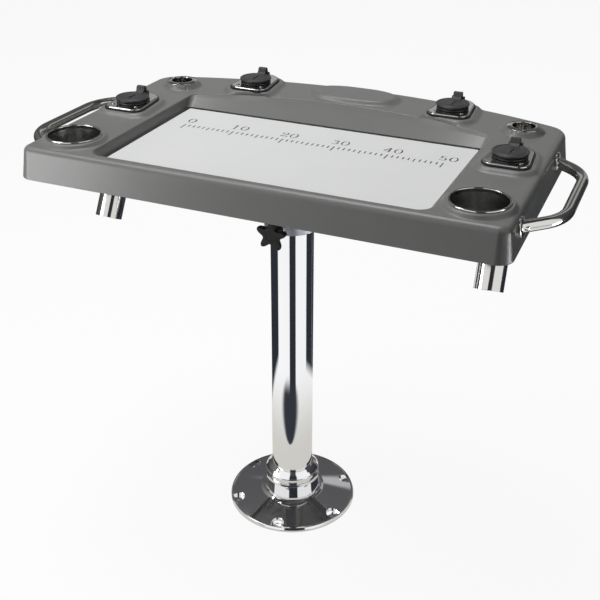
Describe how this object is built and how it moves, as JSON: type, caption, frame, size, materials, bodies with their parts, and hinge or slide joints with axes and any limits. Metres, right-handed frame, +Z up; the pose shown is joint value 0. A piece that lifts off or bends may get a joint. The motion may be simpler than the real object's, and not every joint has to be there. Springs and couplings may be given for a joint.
{
  "type": "tackle station",
  "caption": "Pedestal bait table: grey moulded tray with a sunk cutting board, lidded rod holders, drink holders, tool rings and side handles on a polished post and round base.",
  "frame": {"origin": "centre of the round base on the floor, on the post's axis", "axes": "+Z up along the post, +X to the right seen from the front, +Y to the back where the tray's edge is bowed"},
  "size_m": [0.9876, 0.5715, 0.7867],
  "materials": {
    "base_aluminium": "polished",
    "post_aluminium": "bright polished tube",
    "bush_nylon": "turned white nylon",
    "tray_plastic": "satin moulded",
    "hub_casting": "cast, satin",
    "board_white": "fine matt board",
    "knob_plastic": "satin moulded",
    "fastener_steel": "plain stainless",
    "fitting_steel": "polished stainless",
    "gasket_rubber": "matt",
    "liner_plastic": "satin moulded",
    "cap_plastic": "satin moulded",
    "cup_steel": "polished stainless, drawn",
    "handle_steel": "polished stainless tube"
  },
  "bodies": {
    "pedestal": {"base_flange": "base_aluminium", "base_collar_ring": "base_aluminium", "post_tube": "post_aluminium"},
    "swivel": {"swivel_bush": "bush_nylon"},
    "tray": {"tray_shell": "tray_plastic", "tray_hub": "hub_casting", "hub_bolt_1": "fastener_steel", "hub_bolt_2": "fastener_steel", "hub_bolt_3": "fastener_steel", "hub_bolt_4": "fastener_steel", "hub_bolt_5": "fastener_steel", "hub_bolt_6": "fastener_steel", "rod_holder_side_left": "fitting_steel", "rod_gasket_side_left": "gasket_rubber", "rod_liner_side_left": "liner_plastic", "rod_holder_side_right": "fitting_steel", "rod_gasket_side_right": "gasket_rubber", "rod_liner_side_right": "liner_plastic", "rod_holder_back_left": "fitting_steel", "rod_gasket_back_left": "gasket_rubber", "rod_liner_back_left": "liner_plastic", "rod_holder_back_right": "fitting_steel", "rod_gasket_back_right": "gasket_rubber", "rod_liner_back_right": "liner_plastic", "cup_left": "cup_steel", "ring_holder_left": "fitting_steel", "handle_left": "handle_steel", "handle_ferrule_left_front": "handle_steel", "handle_bolt_left_front": "fastener_steel", "handle_ferrule_left_back": "handle_steel", "handle_bolt_left_back": "fastener_steel", "cup_right": "cup_steel", "ring_holder_right": "fitting_steel", "handle_right": "handle_steel", "handle_ferrule_right_front": "handle_steel", "handle_bolt_right_front": "fastener_steel", "handle_ferrule_right_back": "handle_steel", "handle_bolt_right_back": "fastener_steel"},
    "knob": {"locking_knob": "knob_plastic", "knob_stud": "fastener_steel"},
    "board": {"cutting_board": "board_white"},
    "cap_side_left": {"rod_cap_side_left": "cap_plastic"},
    "cap_side_right": {"rod_cap_side_right": "cap_plastic"},
    "cap_back_left": {"rod_cap_back_left": "cap_plastic"},
    "cap_back_right": {"rod_cap_back_right": "cap_plastic"}
  },
  "joints": [
    {"name": "tray_lift", "type": "slide", "parent": "pedestal", "child": "swivel", "axis": [0, 0, 1], "range_m": [0, 0.11]},
    {"name": "tray_swivel", "type": "hinge", "parent": "swivel", "child": "tray", "pos_m": [0, 0, 0.7199], "axis": [0, 0, 1], "continuous": true},
    {"name": "knob_turn", "type": "hinge", "parent": "tray", "child": "knob", "pos_m": [0, -0.075, 0.6199], "axis": [0, -1, 0], "continuous": true},
    {"name": "board_lift", "type": "slide", "parent": "tray", "child": "board", "axis": [0, 0, 1], "range_m": [0, 0.05]},
    {"name": "cap_flip_side_left", "type": "hinge", "parent": "tray", "child": "cap_side_left", "pos_m": [-0.363, 0.109, 0.7739], "axis": [-1, 0, 0], "range_deg": [0, 105]},
    {"name": "cap_flip_side_right", "type": "hinge", "parent": "tray", "child": "cap_side_right", "pos_m": [0.363, 0.109, 0.7739], "axis": [-1, 0, 0], "range_deg": [0, 105]},
    {"name": "cap_flip_back_left", "type": "hinge", "parent": "tray", "child": "cap_back_left", "pos_m": [-0.204, 0.317, 0.7739], "axis": [-1, 0, 0], "range_deg": [0, 105]},
    {"name": "cap_flip_back_right", "type": "hinge", "parent": "tray", "child": "cap_back_right", "pos_m": [0.204, 0.317, 0.7739], "axis": [-1, 0, 0], "range_deg": [0, 105]}
  ]
}
